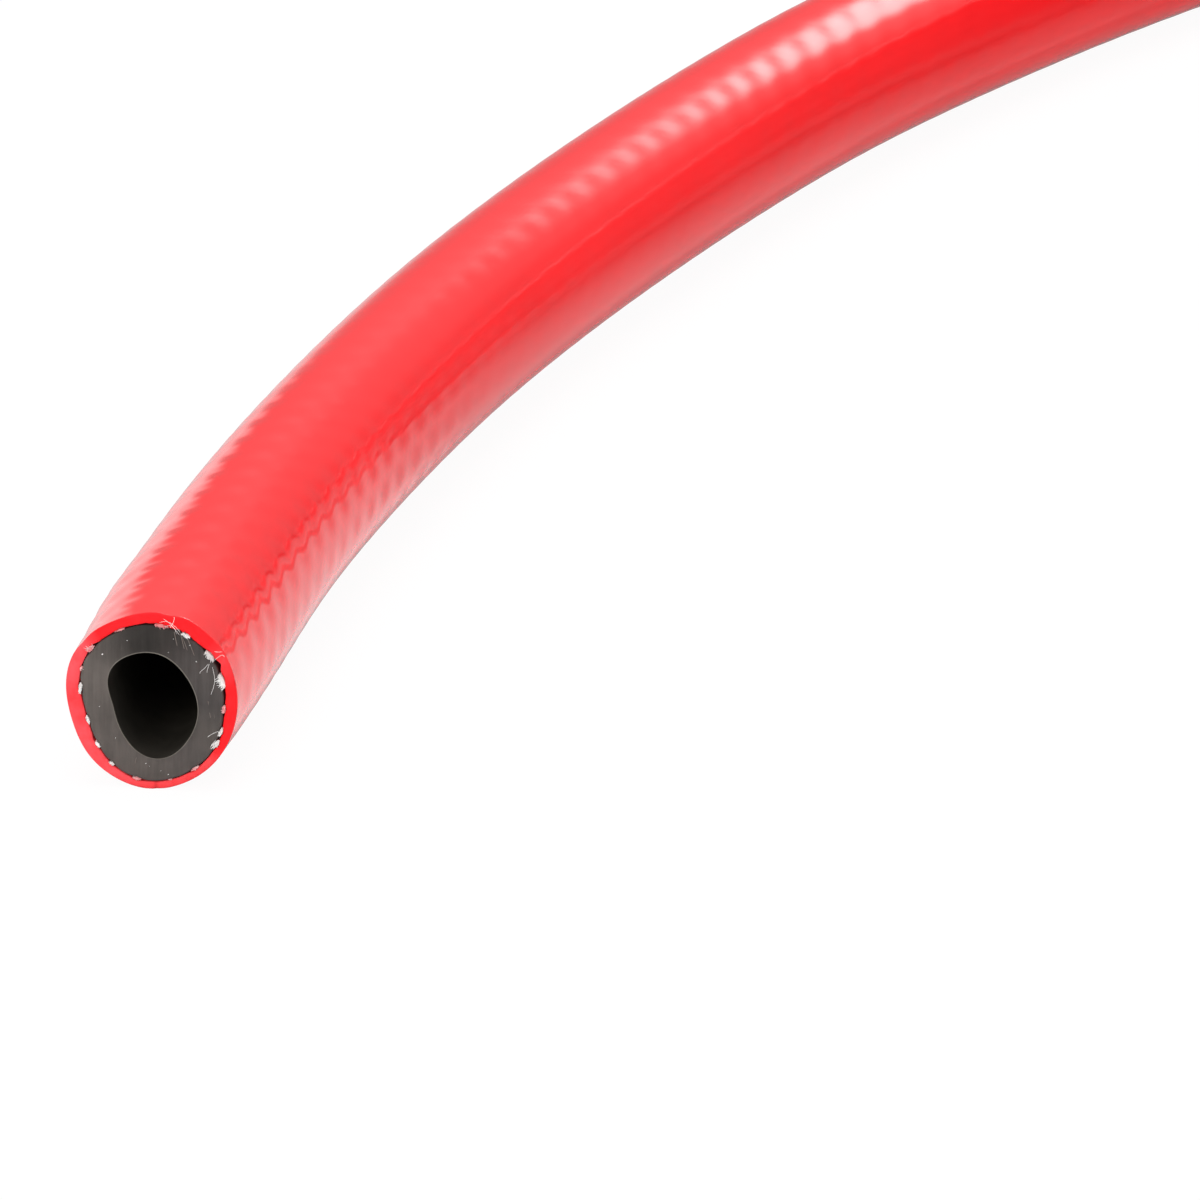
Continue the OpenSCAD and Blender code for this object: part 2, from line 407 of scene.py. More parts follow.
class Wall:
    """A closed wall that is swept from rings of points, each joined to the next one."""

    def __init__(self):
        self.points = []
        self.placed = []

    def ring(self, s, radius_of, count=FINE, forward=0.0, skin=0):
        """Adds a ring at s; radius_of and forward take the angles round the hose.

        The faces from it to the next ring wear the material number skin.
        """
        angle = TAU * np.arange(count) / count
        middle, ahead, side, up = on_route(s)
        radius = radius_of(angle)
        shift = forward(angle) if callable(forward) else forward
        out = middle + radius[:, None] * (np.cos(angle)[:, None] * side + np.sin(angle)[:, None] * up)
        out = out + np.broadcast_to(shift, angle.shape)[:, None] * ahead
        self.points.append(out)
        before = self.placed[-1] if self.placed else Ring(0, 0, 0.0, 0)
        self.placed.append(Ring(before.first + before.count, count, float(s), skin))

    def rings(self, places, radius_at, count=FINE, forward_at=lambda s: 0.0, skin=0):
        """Adds a ring at each of the places; radius_at and forward_at take the place."""
        for s in places:
            self.ring(s, radius_at(s), count, forward_at(s), skin)

    def build(self, name):
        faces, uvs, skins = [], [], []
        for near, far in zip(self.placed, self.placed[1:] + self.placed[:1]):
            corners = joined(near, far)
            faces += [tuple(ring.first + j % ring.count for ring, j in face) for face in corners]
            uvs += [(j / ring.count, ring.s / HOSE_LENGTH) for face in corners for ring, j in face]
            skins += [near.skin] * len(corners)
        thing = make_mesh(name, np.vstack(self.points), faces, uvs)
        thing.data.polygons.foreach_set("material_index", skins)
        return thing


def make_mesh(name, points, faces, uvs=None):
    """A smooth Blender object from points in millimetres, with its faces turned outwards."""
    mesh = bpy.data.meshes.new(name)
    mesh.from_pydata((np.asarray(points) * MM).tolist(), [], faces)
    if uvs is not None:
        layer = mesh.uv_layers.new(name="hose")
        layer.uv.foreach_set("vector", np.asarray(uvs, np.float32).ravel())
    shell = bmesh.new()
    shell.from_mesh(mesh)
    if shell.calc_volume(signed=True) < 0:
        mesh.flip_normals()
    shell.free()
    mesh.update()
    mesh.shade_smooth()
    thing = bpy.data.objects.new(name, mesh)
    bpy.context.scene.collection.objects.link(thing)
    return thing


def steps(start, end, step):
    count = max(1, math.ceil((end - start) / step))
    return list(start + (end - start) * np.arange(count) / count)


def waves(angle, seed, orders, fall):
    """Sum of seeded waves round a rim, alike at 0 and 360 degrees; they fall off with their order."""
    rng = np.random.default_rng(seed)
    out = np.zeros_like(angle)
    for n in orders:
        out = out + rng.normal() / n**fall * np.cos(n * angle + rng.uniform(0, TAU))
    return out


def wobble(angle, seed, size):
    """Small uneven offsets round a rim."""
    return size * waves(angle, seed, (2, 3, 5, 7, 11, 16, 23, 31, 44), 0.5)


def ragged(angle, seed, size):
    """Uneven offsets with finer ones in them, where rubber tore away from yarn."""
    return wobble(angle, seed, size) + 0.4 * size * waves(angle, seed, range(30, 100, 7), 0)


# ---------------------------------------------------------------- the three layers of the hose

# Numbers of the materials on one mesh: its own, then the cut face, or the bore's lip and wall
CUT_SKIN = 1
LIP_SKIN = 1
BORE_SKIN = 2
# Clearance between two layers, so that their surfaces don't coincide
SHY = 0.01


def outer_radius(s):
    def radius(angle):
        shape = deformed(FREE_CUT.outside(angle), TAIL_CUT.outside(angle), HOSE_R, s)
        to_plain = (DENSE_END - s) / 12 if s < LENGTH / 2 else (s - LENGTH + END_STRETCH) / 6
        share = np.clip(to_plain, 0, 1)
        near_rim = min(s, LENGTH - s)
        swell = bulge(s, angle) * min(1, s / 6)
        return shape + swell + share * min(1, 0.4 + near_rim / 2) * relief(s, angle)

    return radius


def face_shift(s):
    """How far a ring near the free cut moves outwards with the cut face."""
    return -FACE_OUT * max(0, 1 - s / 6)


def build_cover():
    wall = Wall()
    free, tail = FREE_CUT, TAIL_CUT
    inside = BRAID_R + SHY
    # Outside, from the free end to the tail, dense where the braid's relief is real
    wall.rings([0.12, 0.3, 0.55] + steps(0.8, DENSE_END, 0.5), outer_radius, FINE, face_shift)
    thinning = steps(LENGTH - 34, LENGTH - END_STRETCH, 2)
    wall.rings(steps(DENSE_END, LENGTH - 34, 4.6) + thinning, outer_radius, COARSE)
    wall.rings(steps(LENGTH - END_STRETCH, LENGTH - 0.6, 0.55) + [LENGTH - 0.45], outer_radius)
    # Cut face of the tail
    wall.ring(LENGTH - 0.12, outer_radius(LENGTH - 0.12), skin=CUT_SKIN)
    wall.ring(LENGTH, lambda a: tail.outside(a) - 0.12, FINE, lambda a: wobble(a, 5, 0.03), CUT_SKIN)
    wall.ring(LENGTH, lambda a: tail.cover_inside(a) + 0.12, FINE, lambda a: wobble(a, 6, 0.03), CUT_SKIN)
    # Inside, back to the free end
    wall.rings([LENGTH - 0.15, LENGTH - 2.2], lambda s: tail.cover_inside)
    wall.ring(LENGTH - 5, lambda a: np.full_like(a, inside))
    for s in reversed(steps(8, LENGTH - 8, 9.0)):
        wall.ring(s, lambda a: deformed(inside + 0.7 * (free.outside(a) - HOSE_R), inside, inside, s),
                  COARSE)
    wall.ring(5, lambda a: deformed(free.cover_inside(a), BRAID_R, inside, 5))
    wall.ring(2.0, free.cover_inside)
    wall.ring(0.2, lambda a: free.cover_inside(a) + SHY, FINEST, -FACE_OUT, CUT_SKIN)
    # Cut face of the free end: a knife leaves it a little wavy, with a ragged inner edge
    wall.ring(0.03, lambda a: free.cover_inside(a) + 0.06 + ragged(a, 1, 0.035), FINEST,
              lambda a: wobble(a, 2, 0.03) - FACE_OUT, CUT_SKIN)
    wall.ring(0.0, lambda a: 0.5 * (free.cover_inside(a) + free.outside(a)), FINEST,
              lambda a: wobble(a, 3, 0.04) - 0.05 - FACE_OUT, CUT_SKIN)
    wall.ring(0.0, lambda a: free.outside(a) - 0.14 + wobble(a, 4, 0.02), FINE,
              lambda a: wobble(a, 7, 0.03) - FACE_OUT, CUT_SKIN)
    return wall.build("hose_cover")


def build_tube():
    wall = Wall()

    def outside(s):
        return lambda a: deformed(FREE_CUT.tube(a), TAIL_CUT.tube(a), TUBE_R - SHY, s)

    def inside(s):
        return lambda a: deformed(FREE_CUT.bore(a), TAIL_CUT.bore(a), BORE_R, s)

    def across(cut, share):
        return lambda a: cut.tube(a) + share * (cut.bore(a) - cut.tube(a))

    tail_from = LENGTH - END_STRETCH
    wall.rings([0.15, 0.6] + steps(1.2, END_STRETCH, 1.5), outside, FINE, face_shift)
    wall.rings(steps(END_STRETCH, tail_from, 7.0), outside, COARSE)
    wall.rings(steps(tail_from, LENGTH - 1.2, 2) + [LENGTH - 0.6, LENGTH - 0.15], outside)
    for share in (0.02, 0.2, 0.4, 0.6, 0.8, 0.96):
        wall.ring(LENGTH, across(TAIL_CUT, share), FINE, lambda a: wobble(a, 20, 0.015),
                  LIP_SKIN if share == 0.96 else 0)
    wall.ring(LENGTH, across(TAIL_CUT, 0.985), FINE, 0.03, BORE_SKIN)
    tail_bore = [LENGTH - 0.12, LENGTH - 0.6] + steps(tail_from, LENGTH - 1.5, 3)[::-1]
    wall.rings(tail_bore, inside, skin=BORE_SKIN)
    wall.rings(steps(36, LENGTH - 36, 9.0)[::-1], inside, COARSE, skin=BORE_SKIN)
    wall.rings(steps(0.8, 34, 1.5)[::-1] + [0.35, 0.1], inside, FINE, face_shift, BORE_SKIN)
    wall.ring(0.0, across(FREE_CUT, 0.99), FINE, -FACE_OUT - 0.04, LIP_SKIN)
    wall.ring(0.0, across(FREE_CUT, 0.96), FINE, lambda a: wobble(a, 21, 0.01) - FACE_OUT)
    for share in (0.9, 0.8, 0.7, 0.6, 0.5, 0.4, 0.3, 0.2, 0.1, 0.02):
        wave = 0.03 * np.cos(TAU * share * 1.2)
        wall.ring(0.0, across(FREE_CUT, share), FINE, lambda a: wobble(a, 21, 0.012) + wave - FACE_OUT)
    return wall.build("hose_inner_tube")


def build_braid():
    """The sleeve of yarn between tube and cover; it ends a little behind each cut face."""
    wall = Wall()
    first, last, tail_from = 3.0, LENGTH - 3.0, LENGTH - END_STRETCH

    def radius(s, at_cut, plain):
        return lambda a: deformed(at_cut(FREE_CUT, a), at_cut(TAIL_CUT, a), plain, s)

    def outer(s):
        return radius(s, lambda cut, a: cut.cover_inside(a) - 0.03, BRAID_R - SHY)

    def inner(s):
        return radius(s, lambda cut, a: cut.tube(a) + 0.03, TUBE_R + SHY)

    stations = steps(first, END_STRETCH, 2) + steps(END_STRETCH, tail_from, 7.0)
    stations += steps(tail_from, last, 2) + [last]
    wall.rings(stations, outer, COARSE)
    wall.rings(stations[::-1], inner, COARSE)
    return wall.build("hose_braid")


cover = build_cover()
tube = build_tube()
braid = build_braid()


# ---------------------------------------------------------------- frayed yarn at the cut ends


class Strands:
    """Thin fibres, each a tube of a few sides through its own points."""

    def __init__(self):
        self.points = []
        self.faces = []

    def add(self, line, radius, sides=4, thin=None, facing=(0.31, 0.53, 0.79)):
        """A fibre of a round section, or of a flat one whose thin side faces a direction.

        For a round one the direction is any that no fibre runs along.
        """
        line = np.asarray(line, float)
        ahead = np.gradient(line, axis=0)
        ahead /= np.linalg.norm(ahead, axis=1, keepdims=True)
        side = np.cross(ahead[0], facing) if thin is None else facing
        thin = thin or radius
        first = len(self.points)
        for i, point in enumerate(line):
            side = side - ahead[i] * side.dot(ahead[i])
            side /= np.linalg.norm(side)
            other = np.cross(ahead[i], side)
            taper = 0.5 if i == len(line) - 1 else 1.0
            for turn in (TAU * j / sides for j in range(sides)):
                across = thin * math.cos(turn) * side + radius * math.sin(turn) * other
                self.points.append(point + taper * across)
        self.faces += [tuple(first + n for n in face) for face in stack(len(line), sides)]

    def build(self, name):
        return make_mesh(name, np.array(self.points), self.faces)


class Face:
    """A cut face: its middle, outwards along the hose, and its right and up sides."""

    def __init__(self, at_tail):
        (middle,), (ahead,), (self.side,), (self.up,) = on_route(LENGTH if at_tail else 0.0)
        self.outwards = ahead if at_tail else -ahead
        self.middle = middle + (0.0 if at_tail else FACE_OUT) * self.outwards

    def spot(self, right, up, out):
        return self.middle + right * self.side + up * self.up + out * self.outwards

    def direction(self, turn):
        return math.cos(turn) * self.side + math.sin(turn) * self.up


FREE_FACE = Face(at_tail=False)
# Radii of a yarn's own fibres, of the loose ones and of the burrs
YARN_FIBRE_R = 0.036
LOOSE_FIBRE_R = 0.019
BURR_R = 0.05


def build_yarn_ends(cut, face, seed):
    """Each yarn's end: a flat bundle in its pocket, with its fibres standing out of it.

    Gives the strands of the clean yarns and of those that rubber is smeared on.
    """
    rng = np.random.default_rng(seed)
    outwards = face.outwards
    clean, smeared = Strands(), Strands()
    for angle, width, thick, fray, sweep, depth, dirty in cut.yarns:
        strands = smeared if dirty else clean
        turn = math.radians(angle)
        radial = face.direction(turn)
        across = -math.sin(turn) * face.side + math.cos(turn) * face.up
        swept = face.direction(math.radians(sweep))
        inner, outer = (float(wall(np.array([turn]))[0]) for wall in (cut.tube, cut.cover_inside))
        seat = face.middle + (inner + outer) / 2 * radial
        bundle = [seat + out * outwards for out in (-3.2, -0.4, depth - 0.12, depth - 0.03)]
        strands.add(bundle, 0.44 * width, 12, 0.4 * thick, radial)
        for _ in range(int(30 + 90 * width * thick)):
            spot = rng.uniform(0, TAU)
            share = math.sqrt(rng.uniform(0, 1))
            x = 0.47 * width * share * math.cos(spot)
            y = 0.43 * thick * share * math.sin(spot)
            root = seat + y * radial + x * across
            out = depth + rng.uniform(-0.02, 0.06) + 0.12 * fray * rng.uniform(0, 1)
            lean = rng.normal(0, 0.03 + 0.06 * fray, 2)
            reach = 0.55 * fray * rng.uniform(0, 1) ** 2
            tip = root + outwards * out + lean[0] * across + lean[1] * radial + reach * swept
            strands.add([root - 0.6 * outwards, root + (depth - 0.08) * outwards, tip], YARN_FIBRE_R)
    return clean, smeared


def add_loose_fibres(strands, fibres, radius):
    """Loose fibres through spots of (right, up, outwards) in millimetres from the face's middle."""
    for spots in fibres:
        knots = [FREE_FACE.spot(*spot) for spot in spots]
        first, last = knots[1] - knots[0], knots[-1] - knots[-2]
        line = spline_through(knots, first / np.linalg.norm(first), last / np.linalg.norm(last), 0.12)
        strands.add(line, radius, 3)


LOOSE_FIBRES = [
    # hanging from the big tuft on the right, and beside it
    [(6.0, 3.9, 0.1), (6.25, 3.2, 0.5), (6.2, 2.2, 0.45), (5.85, 1.1, 0.3)],
    [(5.6, 4.2, 0.1), (5.2, 3.75, 0.35), (4.85, 3.4, 0.35), (4.8, 3.15, 0.25)],
    [(5.7, 4.2, 0.1), (5.55, 3.7, 0.35), (5.5, 3.3, 0.3)],
    # over the red rim beside it
    [(6.2, 5.5, 0.1), (6.6, 5.55, 0.35), (7.1, 5.6, 0.3)],
    [(6.2, 4.6, 0.1), (6.7, 5.1, 0.35), (7.05, 5.25, 0.3), (7.25, 4.95, 0.2)],
    # over the top of the cover
    [(1.9, 7.6, 0.1), (2.2, 8.1, 0.3), (2.35, 8.5, 0.25), (2.3, 8.85, 0.05)],
    [(0.9, 8.1, 0.1), (1.5, 8.3, 0.3), (2.3, 8.0, 0.35), (3.0, 7.2, 0.25)],
    [(1.2, 8.5, 0.0), (1.8, 8.2, 0.25), (2.5, 7.5, 0.3), (2.9, 6.9, 0.2)],
    [(1.4, 7.7, 0.1), (2.0, 7.9, 0.3), (2.45, 7.5, 0.3), (2.6, 6.95, 0.2)],
    # short ones at the lower right
    [(6.6, -2.5, 0.1), (5.9, -2.8, 0.35), (5.45, -3.2, 0.3)],
    [(6.3, -3.4, 0.1), (5.9, -3.9, 0.3), (5.75, -4.3, 0.25)],
]
# Dust of the cut yarn on the rubber: right, up, size
DUST = [
    (-4.72, 4.51, 0.075), (-2.3, 6.05, 0.045), (3.79, 5.94, 0.05), (2.2, 6.47, 0.04),
    (4.39, 4.32, 0.05), (-5.04, -0.77, 0.04), (-3.49, -3.85, 0.035), (-0.57, -6.26, 0.045),
    (1.6, -7.23, 0.045), (0.9, -6.9, 0.03), (-0.2, -6.5, 0.025), (1.7, 5.1, 0.03),
]
# Thin burrs of rubber that the knife pulled across the face of the tube
BURRS = [
    [(2.77, 7.5, -0.01), (3.05, 6.5, 0.02), (3.29, 5.43, 0.0)],
    [(2.3, 7.2, -0.01), (2.45, 6.5, 0.02), (2.6, 5.7, 0.0)],
    [(3.3, 7.3, -0.01), (3.8, 6.1, 0.015), (4.3, 4.8, 0.0)],
    [(2.95, 7.1, -0.01), (3.3, 6.2, 0.015), (3.6, 5.3, 0.0)],
    [(5.55, 0.4, 0.0), (5.75, -1.1, 0.015), (6.0, -2.7, 0.0)],
    [(5.9, 0.2, 0.0), (6.1, -1.0, 0.01), (6.2, -2.0, 0.0)],
    [(-1.6, -6.3, 0.0), (-1.5, -5.9, 0.01), (-1.45, -5.6, 0.0)],
]

free_strands, free_smeared = build_yarn_ends(FREE_CUT, FREE_FACE, seed=11)
add_loose_fibres(free_strands, LOOSE_FIBRES, LOOSE_FIBRE_R)
for right, up, size in DUST:
    speck = [FREE_FACE.spot(right, up, 0.04), FREE_FACE.spot(right + 1.6 * size, up + size, 0.04)]
    free_strands.add(speck, size)
yarn_free = free_strands.build("yarn_ends_free")
yarn_free_smeared = free_smeared.build("yarn_ends_free_smeared")
tail_strands, _ = build_yarn_ends(TAIL_CUT, Face(at_tail=True), seed=12)
yarn_tail = tail_strands.build("yarn_ends_tail")
burr_strands = Strands()
add_loose_fibres(burr_strands, BURRS, BURR_R)
burrs = burr_strands.build("tube_burrs")


# ---------------------------------------------------------------- cable ties

STRAP_W = 7.6
STRAP_T = 1.4
SLACK = 0.2
HEAD_L = 9.6
HEAD_H = 6.8
HEAD_W = STRAP_W + 2
STUB_L = 3.5
TIE_ANGLE = math.radians(60)
# Points at each rounded corner of a head, and the largest turn and step along a strap
CORNER_POINTS = 5
TRACK_TURN = math.radians(5)
TRACK_STEP = 0.8
# Edges that turn by more than this are sharp
SHARP_ANGLE = math.radians(35)


def column(k, centre_y, angle):
    """How far from the coil's centre turn k crosses the direction at an angle."""
    radius = right_radius(k)
    return centre_y * math.sin(angle) + math.sqrt(radius**2 - (centre_y * math.cos(angle)) ** 2)


def right_section(angle):
    """Middles of the outermost and innermost turns where a tie goes round the right half turns."""
    return [
        (column(k, SWING if layer % 2 == 1 else -SWING, angle), level(layer))
        for layer in range(1, LAYERS + 1)
        for k in (0, RINGS - 1)
    ]


def left_section():
    """The same on the left, where the climbing half turns are in it too."""
    out = [(left_radius(k), level(layer)) for layer in (1, LAYERS) for k in (1, RINGS - 1)]
    for layer in range(1, LAYERS):
        out.append((CLIMB_R[climb_turn(layer)], (level(layer) + level(layer + 1)) / 2))
    return out


def hull_track(section):
    """A closed track round circles at the section's points: circle centres and outward angles."""
    corners = [section[i] for i in convex_hull_2d([Vector(p) for p in section])]
    sides = list(zip(corners, corners[1:] + corners[:1]))
    if sum(a[0] * b[1] - b[0] * a[1] for a, b in sides) < 0:
        corners.reverse()
        sides = list(zip(corners, corners[1:] + corners[:1]))
    normals = [math.atan2(-(b[0] - a[0]), b[1] - a[1]) for a, b in sides]
    track = []
    for i, (a, b) in enumerate(sides):
        before, after = normals[i - 1], normals[i]
        turn = (after - before) % TAU
        pieces = max(1, math.ceil(turn / TRACK_TURN))
        track += [(a, before + turn * j / pieces) for j in range(pieces + 1)]
        cuts = max(1, math.ceil(math.dist(a, b) / TRACK_STEP))
        for share in (j / cuts for j in range(1, cuts)):
            track.append(((a[0] + share * (b[0] - a[0]), a[1] + share * (b[1] - a[1])), after))
    return track


def mirrored(half, side):
    """A section from one side's points of (off, inset from the edge) and their mirror images."""
    return [(off, half - inset) for off, inset in side] + [(off, inset - half) for off, inset in side[::-1]]


def rounded_outline(half_z, half_w, corner):
    """Points of a rectangle with rounded corners."""
    out = []
    for quarter, (sz, sw) in enumerate([(1, 1), (-1, 1), (-1, -1), (1, -1)]):
        for i in range(CORNER_POINTS):
            turn = math.pi / 2 * (quarter + i / (CORNER_POINTS - 1))
            out.append(((half_z - corner) * sz + corner * math.cos(turn),
                        (half_w - corner) * sw + corner * math.sin(turn)))
    return out


class Tie:
    """One cable tie, round the bundle of turns at an angle round the coil."""

    def __init__(self, where, section, angle):
        self.where = where
        self.section = section
        self.angle = angle
        self.inner_face = min(r for r, _ in section) - HOSE_R - SLACK
        heights = [z for r, z in section if r - HOSE_R - SLACK < self.inner_face + SLACK]
        self.middle = (min(heights) + max(heights)) / 2
        self.pieces = [self.build_strap(), self.build_head(), self.build_stub()]

    def place(self, r, z, w):
        """From the distance from the coil's centre, the height and sideways to the row frame."""
        centre = COIL_CENTRE - ORIGIN
        x = centre[0] + r * math.cos(self.angle) + w * math.sin(self.angle)
        y = centre[1] + r * math.sin(self.angle) - w * math.cos(self.angle)
        return x, y, z

    def build_piece(self, part, points, faces):
        thing = make_mesh(f"tie_{part}_{self.where}", points, faces)
        thing.data.set_sharp_from_angle(angle=SHARP_ANGLE)
        return thing

    def build_strap(self):
        """The strap: smooth with raised edges outside, toothed inside."""
        low, high = SLACK, SLACK + STRAP_T
        points, faces = [], []
        track = hull_track(self.section)
        for i, ((r, z), turn) in enumerate(track):
            groove = low + 0.25 - (0.22 if i % 2 else 0.0)
            profile = mirrored(STRAP_W / 2, [
                (groove, 1.4), (low, 1.2), (low, 0.35), (low + 0.3, 0), (high - 0.3, 0),
                (high, 0.35), (high, 1.0), (high - 0.22, 1.3),
            ])
            for off, w in profile:
                radius = HOSE_R + off
                points.append(self.place(r + radius * math.cos(turn), z + radius * math.sin(turn), w))
            count = len(profile)
            faces += band(i * count, (i + 1) % len(track) * count, count)
        return self.build_piece("strap", points, faces)

    def build_head(self):
        """The head: a rounded block with a window that the trimmed strap comes out of."""
        half_l, half_w = HEAD_L / 2, HEAD_W / 2
        window_l, window_w = STRAP_T / 2 + 0.55, STRAP_W / 2 + 0.15
        outlines = [
            (0.0, half_l, half_w, 0.8), (HEAD_H - 0.9, half_l, half_w, 0.8),
            (HEAD_H - 0.25, half_l - 0.25, half_w - 0.25, 0.9), (HEAD_H, half_l - 0.8, half_w - 0.6, 0.9),
            (HEAD_H, window_l + 0.2, window_w + 0.2, 0.3), (HEAD_H - 0.2, window_l, window_w, 0.3),
            (0.9, window_l, window_w, 0.3),
        ]
        points = [
            self.place(self.inner_face - out, self.middle + z, w)
            for out, *outline in outlines
            for z, w in rounded_outline(*outline)
        ]
        return self.build_piece("head", points, stack(len(outlines), 4 * CORNER_POINTS))

    def build_stub(self):
        """The end of the strap that was left standing out of the head, with its teeth."""
        half_t = STRAP_T / 2
        stations = np.linspace(-STRAP_T * 0.4, HEAD_H + STUB_L, 24)
        points = []
        for i, out in enumerate(stations):
            at_end = i == len(stations) - 1
            shrink, slant = (0.12, 0.35) if at_end else (0.0, 0.0)
            low, high = -half_t + shrink, half_t - shrink
            groove = -half_t + 0.24 + (0.24 if i % 2 else 0.0)
            profile = mirrored(STRAP_W / 2, [
                (groove, 1.4), (low, 1.2), (low, 0.3), (-half_t + 0.3, shrink),
                (half_t - 0.3, shrink), (high, 0.3),
            ])
            for z, w in profile:
                points.append(self.place(self.inner_face - out + slant * z, self.middle + z, w))
        return self.build_piece("stub", points, stack(len(stations), len(profile)))


ties = [
    Tie("left", left_section(), math.pi),
    Tie("back", right_section(TIE_ANGLE), TIE_ANGLE),
    Tie("front", right_section(-TIE_ANGLE), -TIE_ANGLE),
]


# ---------------------------------------------------------------- node trees


class Value:
    """An output in a node tree; sums and products with it become Math nodes."""

    def __init__(self, tree, output):
        self.tree = tree
        self.output = output

    def math(self, operation, *others):
        inputs = dict(enumerate((self, *others)))
        return self.tree.made("ShaderNodeMath", 0, inputs, operation=operation)

    def __add__(self, other):
        return self.math("ADD", other)

    def __sub__(self, other):
        return self.math("SUBTRACT", other)

    def __mul__(self, other):
        return self.math("MULTIPLY", other)

    def at_least(self, other):
        return self.math("MAXIMUM", other)

    def at_most(self, other):
        return self.math("MINIMUM", other)

    def smooth_step(self, low, high, first=0.0, second=1.0):
        """First up to low, second from high, and a smooth change between; high may be under low."""
        inputs = {"Value": self, "From Min": low, "From Max": high, "To Min": first, "To Max": second}
        return self.tree.made("ShaderNodeMapRange", "Result", inputs, interpolation_type="SMOOTHSTEP")

    def ramp(self, stops):
        """Colours between stops of (position, (r, g, b)) or of (position, grey)."""
        colour = self.tree.made("ShaderNodeValToRGB", "Color", {"Fac": self})
        elements = colour.output.node.color_ramp.elements
        while len(elements) < len(stops):
            elements.new(0.5)
        for element, (position, shade) in zip(elements, stops):
            element.position = position
            element.color = (*np.broadcast_to(shade, 3), 1)
        return colour


class Tree:
    """The node tree of a material, a world or a light."""

    def __init__(self, owner):
        owner.use_nodes = True
        self.owner = owner
        self.nodes = owner.node_tree.nodes

    def feed(self, node, inputs):
        """Links values to a node's inputs and sets the others, by name or number."""
        for key, value in inputs.items():
            if isinstance(value, Value):
                self.owner.node_tree.links.new(value.output, node.inputs[key])
            else:
                node.inputs[key].default_value = value

    def made(self, kind, output, inputs, **settings):
        """An output of a new node."""
        node = self.nodes.new(kind)
        for key, value in settings.items():
            setattr(node, key, value)
        self.feed(node, inputs)
        return Value(self, node.outputs[output])

    def split(self, vector):
        """The three coordinates of a vector."""
        first = self.made("ShaderNodeSeparateXYZ", 0, {"Vector": vector})
        return [Value(self, output) for output in first.output.node.outputs]

    def of_rays(self, kind):
        """1 for rays of one kind and 0 for all others."""
        return self.made("ShaderNodeLightPath", kind, {})

    def mix_shaders(self, share, first, second):
        return self.made("ShaderNodeMixShader", 0, {0: share, 1: first, 2: second})


# ---------------------------------------------------------------- materials


class Material(Tree):
    """A material of one Principled shader."""

    def __init__(self, name):
        super().__init__(bpy.data.materials.new(name))
        self.place = self.made("ShaderNodeTexCoord", "Object", {})

    def noise(self, scale, detail, roughness=0.5, place=None):
        inputs = {"Vector": place or self.place, "Scale": scale, "Detail": detail, "Roughness": roughness}
        return self.made("ShaderNodeTexNoise", "Fac", inputs)

    def bump(self, height, distance, strength=1.0, before=None):
        inputs = {"Height": height, "Distance": distance, "Strength": strength}
        if before is not None:
            inputs["Normal"] = before
        return self.made("ShaderNodeBump", "Normal", inputs)

    def mix_colours(self, blend, share, first, second):
        inputs = {0: share, 6: first, 7: second}
        return self.made("ShaderNodeMix", 2, inputs, data_type="RGBA", blend_type=blend)

    def finished(self, inputs):
        self.feed(self.nodes["Principled BSDF"], inputs)
        return self.owner


def hose_place(tree):
    """Turns round the hose, and millimetres along it from the free cut, all over its surface."""
    turns, along, _ = tree.split(tree.made("ShaderNodeUVMap", "UV", {}, uv_map="hose"))
    return turns, along * HOSE_LENGTH


def braid_height(turns, along):
    """The relief of the braid from the hose's own coordinates, where the mesh has none."""
    angle = turns * (8 * TAU)
    slant = along * (TAU / RIDGE_PITCH)
    both = (angle + slant).math("COSINE") + (angle - slant).math("COSINE")
    start = along.math("GREATER_THAN", DENSE_END - 2)
    end = along.math("LESS_THAN", LENGTH - END_STRETCH)
    return both * (start * end)


def cover_material():
    tree = Material("red_cover_rubber")
    turns, along = hose_place(tree)
    cloudy = tree.noise(60, 3)
    red = cloudy.ramp([(0.3, (0.84, 0.0105, 0.0145)), (0.7, (0.88, 0.0125, 0.017))])
    # The first centimetres are a little paler
    pale = cloudy.ramp([(0.3, (0.86, 0.018, 0.022)), (0.7, (0.9, 0.021, 0.025))])
    near_cut = along.smooth_step(4, 24, 1.0, 0.0)
    worn = along.smooth_step(50, 170, 0.07, 0.14)
    ridges = tree.bump(braid_height(turns, along), 0.65 * RIDGE_HEIGHT * MM)
    return tree.finished({
        "Base Color": tree.mix_colours("MIX", near_cut, red, pale),
        "Roughness": tree.noise(420, 2) * 0.04 + worn,
        "IOR": 1.5,
        "Normal": tree.bump(tree.noise(2600, 4, 0.6), 0.0006 * MM, 0.2, ridges),
    })


def round_the_face(tree, stops):
    """Colours at angles in degrees round the free cut, from 180 at the left over -90 below to 180."""
    up, side = (
        tree.made("ShaderNodeVectorMath", "Value", {0: tree.place, 1: tuple(way)}, operation="DOT_PRODUCT")
        - float(FREE_FACE.middle @ way) * MM
        for way in (FREE_FACE.up, FREE_FACE.side)
    )
    angle = up.math("ARCTAN2", side) * (1 / TAU) + 0.5
    return angle.ramp([(degrees / 360 + 0.5, colour) for degrees, colour in stops])


def drag_marks(tree):
    """Fine upright streaks, as a knife leaves them in rubber."""
    stretched = tree.made("ShaderNodeMapping", "Vector", {
        "Vector": tree.place, "Rotation": (0, math.radians(-9), 0), "Scale": (1, 1, 0.07),
    })
    return tree.noise(1900, 3, 0.6, stretched)


